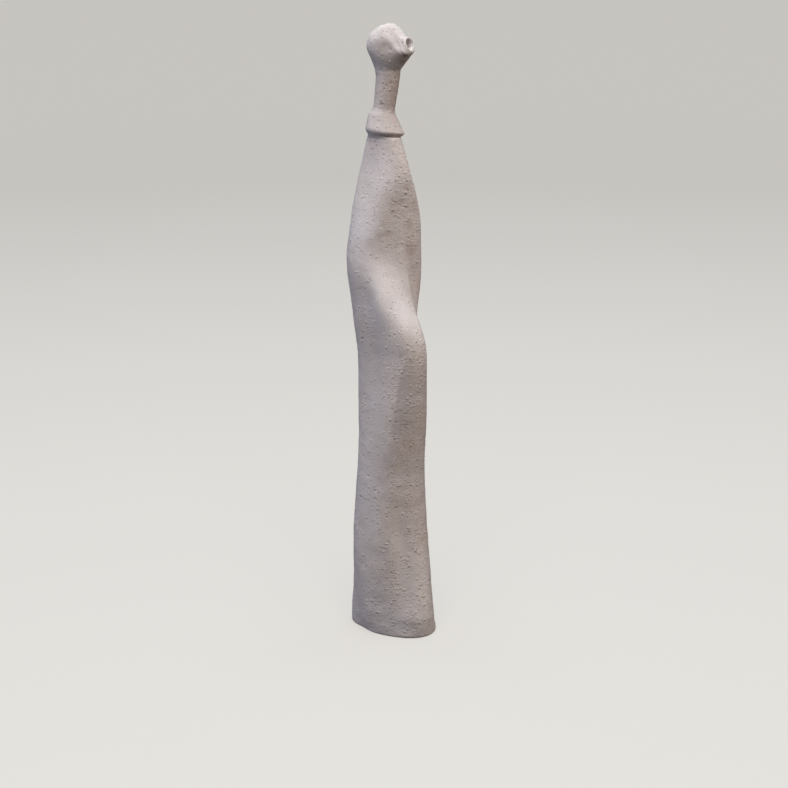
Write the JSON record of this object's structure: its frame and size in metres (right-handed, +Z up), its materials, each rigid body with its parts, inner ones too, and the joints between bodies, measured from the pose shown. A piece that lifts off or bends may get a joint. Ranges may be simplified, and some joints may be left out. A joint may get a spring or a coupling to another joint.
{
  "type": "terracotta figurine",
  "caption": "Slender robed standing figure of unglazed grogged clay, with a twisted robe, a flared collar, a thin neck and a ball head whose round mouth calls to one side.",
  "frame": {"origin": "on the flat underside, under the middle of the foot", "axes": "+Z up along the figure, -Y towards whoever faces the figure's front, +X to that viewer's right"},
  "size_m": [0.066, 0.0658, 0.4499],
  "materials": {
    "fired_clay": "matte, unglazed, pitted and gritty with coarse grog"
  },
  "bodies": {
    "root": {"figurine": "fired_clay"}
  },
  "joints": []
}
